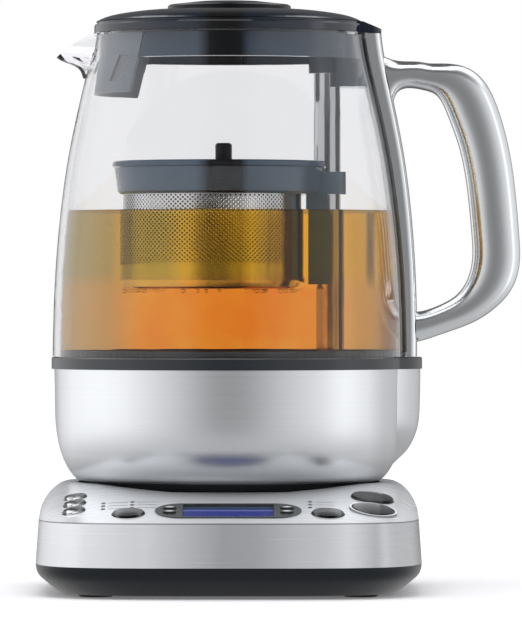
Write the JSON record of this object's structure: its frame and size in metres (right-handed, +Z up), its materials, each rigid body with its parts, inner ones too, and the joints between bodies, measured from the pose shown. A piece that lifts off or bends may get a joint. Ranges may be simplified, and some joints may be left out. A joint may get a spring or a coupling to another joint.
{
  "type": "automatic tea maker",
  "caption": "Glass tea maker with a motor-lifted steel infuser basket, a lift-off lid, a loop handle and a powered base with a sloping control panel and a display.",
  "frame": {"origin": "on the table, at the upright axis about which the jug turns on its base", "axes": "+Z up; -Y towards the front with the control panel; -X towards the spout and +X towards the handle"},
  "size_m": [0.2172, 0.203, 0.2652],
  "materials": {
    "cover_steel": "brushed sideways",
    "carrier_plastic": "fine grain",
    "tray_plastic": "fine grain",
    "foot_rubber": "matte",
    "fastener_steel": "zinc plated",
    "gland_rubber": "matte",
    "display_black": "tinted, glossy",
    "screen_blue": "lit from behind",
    "window_clear": "clear",
    "ring_white": "translucent",
    "light_white": "translucent",
    "button_steel": "satin, domed",
    "large_button_steel": "satin, domed",
    "arrow_plastic": "glossy",
    "board_green": "lacquered",
    "hub_plastic": "fine grain",
    "contact_brass": "bare",
    "body_steel": "brushed sideways",
    "foot_plastic": "fine grain",
    "trim_plastic": "satin",
    "jug_glass": "clear",
    "seal_silicone": "matte",
    "plate_steel": "polished",
    "element_steel": "dull",
    "post_steel": "polished",
    "motor_metal": "dull",
    "screw_steel": "turned",
    "nut_plastic": "natural",
    "magnet_nickel": "nickel plated",
    "mouth_plastic": "glossy",
    "filter_plastic": "smoky, slightly translucent",
    "mesh_steel": "fine mesh",
    "lid_plastic": "glossy",
    "knob_plastic": "satin",
    "basket_plastic": "smooth",
    "basket_steel": "perforated, satin",
    "spine_steel": "polished",
    "pad_rubber": "matte",
    "handle_metal": "satin chrome",
    "insert_steel": "polished"
  },
  "bodies": {
    "base": {"base_cover": "cover_steel", "panel_carrier": "carrier_plastic", "base_tray": "tray_plastic", "foot_pads": "foot_rubber", "base_screws": "fastener_steel", "cord_gland": "gland_rubber", "display_frame": "display_black", "display_screen": "screen_blue", "display_window": "window_clear", "brew_ring": "ring_white", "indicator_lights": "light_white", "control_board": "board_green", "connector_hub": "hub_plastic", "hub_contacts": "contact_brass", "power_board": "board_green"},
    "jug_connector": {"jug_connector": "hub_plastic"},
    "jug": {"jug_body": "body_steel", "jug_foot": "foot_plastic", "trim_ring": "trim_plastic", "glass_jug": "jug_glass", "floor_gasket": "seal_silicone", "heater_plate": "plate_steel", "heating_element": "element_steel", "temperature_probe": "plate_steel", "guide_post": "post_steel", "post_seal": "seal_silicone", "lift_motor": "motor_metal", "mouth_ring": "mouth_plastic", "spout_filter": "filter_plastic", "filter_mesh": "mesh_steel", "spine": "spine_steel", "spine_pad": "pad_rubber", "handle": "handle_metal", "handle_insert": "insert_steel", "handle_screws": "fastener_steel"},
    "lead_screw": {"lead_screw": "screw_steel"},
    "magnet_carriage": {"magnet_carriage": "nut_plastic", "carriage_magnets": "magnet_nickel"},
    "lid": {"lid_cover": "lid_plastic", "lid_knob": "knob_plastic", "lid_skirt": "lid_plastic", "lid_seal": "seal_silicone", "lid_screw": "fastener_steel"},
    "basket": {"basket_collar": "basket_plastic", "basket_magnets": "magnet_nickel", "basket_cup": "basket_steel", "basket_base": "basket_steel"},
    "basket_lid": {"basket_lid": "basket_steel", "basket_lid_knob": "knob_plastic"},
    "keep_warm_button": {"keep_warm_button": "button_steel"},
    "basket_cycle_button": {"basket_cycle_button": "button_steel"},
    "auto_start_button": {"auto_start_button": "button_steel"},
    "tea_type_button": {"tea_type_button": "button_steel"},
    "strength_button": {"strength_button": "button_steel"},
    "hot_water_button": {"hot_water_button": "large_button_steel"},
    "brew_button": {"brew_button": "large_button_steel"},
    "temperature_up_button": {"temperature_up_button": "arrow_plastic"},
    "temperature_down_button": {"temperature_down_button": "arrow_plastic"},
    "time_up_button": {"time_up_button": "arrow_plastic"},
    "time_down_button": {"time_down_button": "arrow_plastic"}
  },
  "joints": [
    {"name": "jug_lift", "type": "slide", "parent": "base", "child": "jug_connector", "axis": [0, 0, 1], "range_m": [0, 0.06]},
    {"name": "jug_turn", "type": "hinge", "parent": "jug_connector", "child": "jug", "pos_m": [0, 0, 0], "axis": [0, 0, 1], "continuous": true},
    {"name": "lid_lift", "type": "slide", "parent": "jug", "child": "lid", "axis": [0, 0, 1], "range_m": [0, 0.08]},
    {"name": "basket_lift", "type": "slide", "parent": "jug", "child": "basket", "axis": [0, 0, 1], "range_m": [-0.028, 0.034]},
    {"name": "basket_lid_lift", "type": "slide", "parent": "basket", "child": "basket_lid", "axis": [0, 0, 1], "range_m": [0, 0.03]},
    {"name": "carriage_lift", "type": "slide", "parent": "jug", "child": "magnet_carriage", "axis": [0, 0, 1], "range_m": [-0.028, 0.034]},
    {"name": "screw_turn", "type": "hinge", "parent": "jug", "child": "lead_screw", "pos_m": [0.0442, 0, 0], "axis": [0, 0, 1], "range_deg": [-1270, 1540]},
    {"name": "keep_warm_press", "type": "slide", "parent": "base", "child": "keep_warm_button", "axis": [0.1692, 0.1914, -0.9668], "range_m": [0, 0.0008], "stiffness_N_per_m": 400},
    {"name": "basket_cycle_press", "type": "slide", "parent": "base", "child": "basket_cycle_button", "axis": [0.1836, 0.2139, -0.9594], "range_m": [0, 0.0008], "stiffness_N_per_m": 400},
    {"name": "auto_start_press", "type": "slide", "parent": "base", "child": "auto_start_button", "axis": [0.2017, 0.2339, -0.9511], "range_m": [0, 0.0008], "stiffness_N_per_m": 400},
    {"name": "tea_type_press", "type": "slide", "parent": "base", "child": "tea_type_button", "axis": [0.0344, 0.2361, -0.9711], "range_m": [0, 0.0008], "stiffness_N_per_m": 400},
    {"name": "strength_press", "type": "slide", "parent": "base", "child": "strength_button", "axis": [-0.0344, 0.2361, -0.9711], "range_m": [0, 0.0008], "stiffness_N_per_m": 400},
    {"name": "hot_water_press", "type": "slide", "parent": "base", "child": "hot_water_button", "axis": [-0.1209, 0.1952, -0.9733], "range_m": [0, 0.0008], "stiffness_N_per_m": 400},
    {"name": "brew_press", "type": "slide", "parent": "base", "child": "brew_button", "axis": [-0.1424, 0.2308, -0.9625], "range_m": [0, 0.0008], "stiffness_N_per_m": 400},
    {"name": "temperature_up_press", "type": "slide", "parent": "base", "child": "temperature_up_button", "axis": [0, 0.2297, -0.9733], "range_m": [0, 0.0008], "stiffness_N_per_m": 400},
    {"name": "temperature_down_press", "type": "slide", "parent": "base", "child": "temperature_down_button", "axis": [0, 0.2297, -0.9733], "range_m": [0, 0.0008], "stiffness_N_per_m": 400},
    {"name": "time_up_press", "type": "slide", "parent": "base", "child": "time_up_button", "axis": [0, 0.2297, -0.9733], "range_m": [0, 0.0008], "stiffness_N_per_m": 400},
    {"name": "time_down_press", "type": "slide", "parent": "base", "child": "time_down_button", "axis": [0, 0.2297, -0.9733], "range_m": [0, 0.0008], "stiffness_N_per_m": 400}
  ],
  "couplings": [
    {"joint": "carriage_lift", "follows": "basket_lift", "ratio": 1},
    {"joint": "screw_turn", "follows": "basket_lift", "rad_per_m": 785.4}
  ]
}
